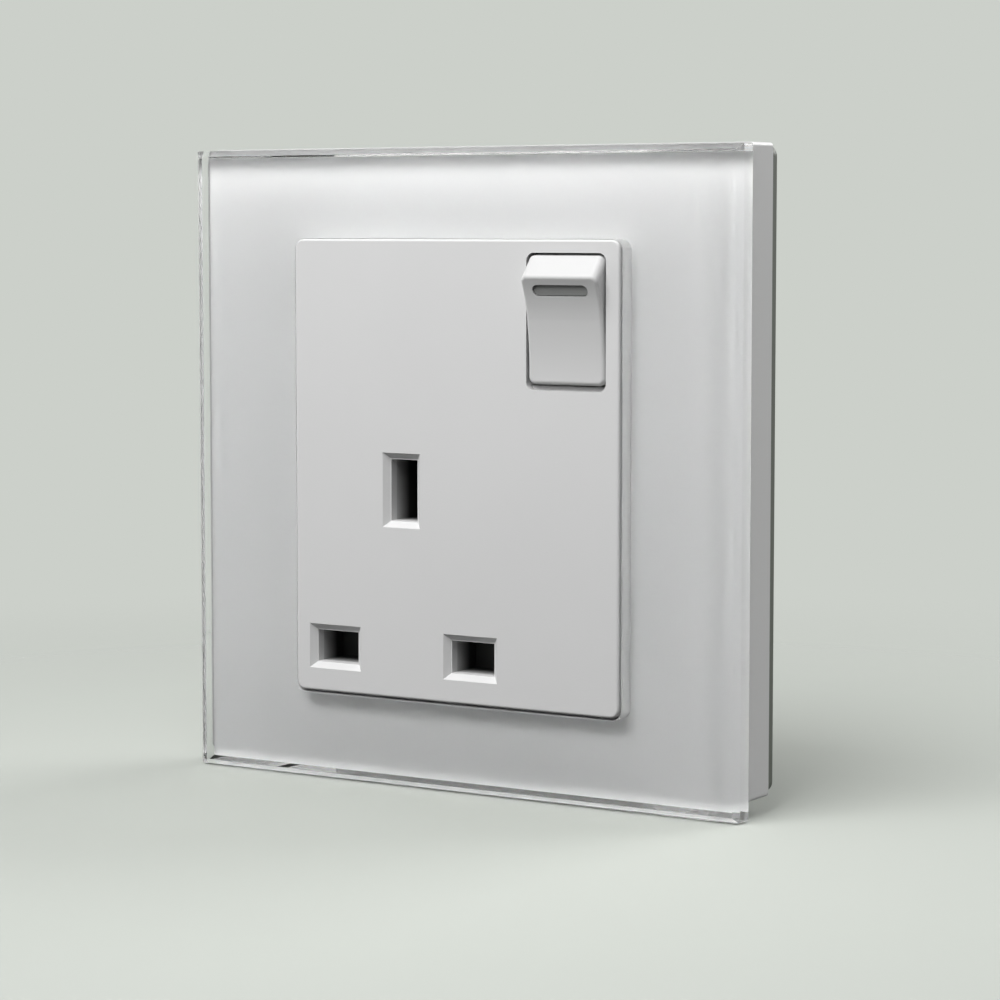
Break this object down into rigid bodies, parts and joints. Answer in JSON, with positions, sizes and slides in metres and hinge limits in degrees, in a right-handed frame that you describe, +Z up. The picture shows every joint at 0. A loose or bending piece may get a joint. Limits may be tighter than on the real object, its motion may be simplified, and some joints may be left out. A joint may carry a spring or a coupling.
{
  "type": "switched wall socket",
  "caption": "Switched wall socket with a bevelled glass front, a matte white insert with rectangular pin apertures, a dished rocker and an indicator lens.",
  "frame": {"origin": "middle of the plate on the wall plane, halfway between the two fixing screws", "axes": "+X to the right seen from the front, +Y into the wall, +Z up; the front faces -Y"},
  "size_m": [0.087, 0.0329, 0.0872],
  "materials": {
    "clear_glass": "polished",
    "white_film": "matte",
    "white_frame": "satin",
    "grey_plate": "matte",
    "white_insert": "fine grain",
    "white_rocker": "satin",
    "grey_lens": "satin",
    "black_shutter": "matte",
    "white_base": "matte",
    "natural_nylon": "matte",
    "brass": "rolled",
    "copper": "rolled",
    "silver": "satin",
    "zinc_steel": "zinc plated",
    "spring_steel": "drawn wire",
    "lamp_glass": "clear",
    "resistor_body": "lacquered"
  },
  "bodies": {
    "socket_body": {"glass_panel": "clear_glass", "backing_film": "white_film", "carrier_frame": "white_frame", "mounting_plate": "grey_plate", "fixing_screws": "zinc_steel", "socket_cover": "white_insert", "cover_screws": "zinc_steel", "base_moulding": "white_base", "fixed_contact_tips": "silver", "live_terminal": "brass", "neutral_terminal": "brass", "earth_terminal": "brass", "terminal_screws": "zinc_steel", "live_receptacle": "brass", "neutral_receptacle": "brass", "earth_receptacle": "brass", "shutter_spring": "spring_steel"},
    "rocker": {"rocker": "white_rocker", "indicator_lens": "grey_lens", "neon_lamp": "lamp_glass", "lamp_resistor": "resistor_body", "live_plunger_spring": "spring_steel", "neutral_plunger_spring": "spring_steel"},
    "live_plunger": {"live_plunger": "natural_nylon"},
    "neutral_plunger": {"neutral_plunger": "natural_nylon"},
    "live_contact": {"live_moving_contact": "copper", "live_moving_tip": "silver"},
    "neutral_contact": {"neutral_moving_contact": "copper", "neutral_moving_tip": "silver"},
    "shutter": {"shutter": "black_shutter"}
  },
  "joints": [
    {"name": "rocker_hinge", "type": "hinge", "parent": "socket_body", "child": "rocker", "pos_m": [0.0178, -0.00835, 0.0205], "axis": [-1, 0, 0], "range_deg": [0, 18]},
    {"name": "live_contact_hinge", "type": "hinge", "parent": "socket_body", "child": "live_contact", "pos_m": [0.0208, 0.0069, 0.0205], "axis": [1, 0, 0], "range_deg": [0, 20]},
    {"name": "neutral_contact_hinge", "type": "hinge", "parent": "socket_body", "child": "neutral_contact", "pos_m": [0.0148, 0.0069, 0.0205], "axis": [1, 0, 0], "range_deg": [0, 20]},
    {"name": "live_plunger_slide", "type": "slide", "parent": "rocker", "child": "live_plunger", "axis": [0, -0.9877, -0.1564], "range_m": [0, 0.0012], "stiffness_N_per_m": 20, "springref_m": -0.001, "deforming": ["live_plunger_spring"]},
    {"name": "neutral_plunger_slide", "type": "slide", "parent": "rocker", "child": "neutral_plunger", "axis": [0, -0.9877, -0.1564], "range_m": [0, 0.0012], "stiffness_N_per_m": 20, "springref_m": -0.001, "deforming": ["neutral_plunger_spring"]},
    {"name": "shutter_slide", "type": "slide", "parent": "socket_body", "child": "shutter", "axis": [0, 0, 1], "range_m": [0, 0.0056], "stiffness_N_per_m": 60, "springref_m": -0.004, "deforming": ["shutter_spring"]}
  ],
  "couplings": [
    {"joint": "live_contact_hinge", "follows": "rocker_hinge", "ratio": 1.111},
    {"joint": "neutral_contact_hinge", "follows": "rocker_hinge", "ratio": 1.111}
  ]
}
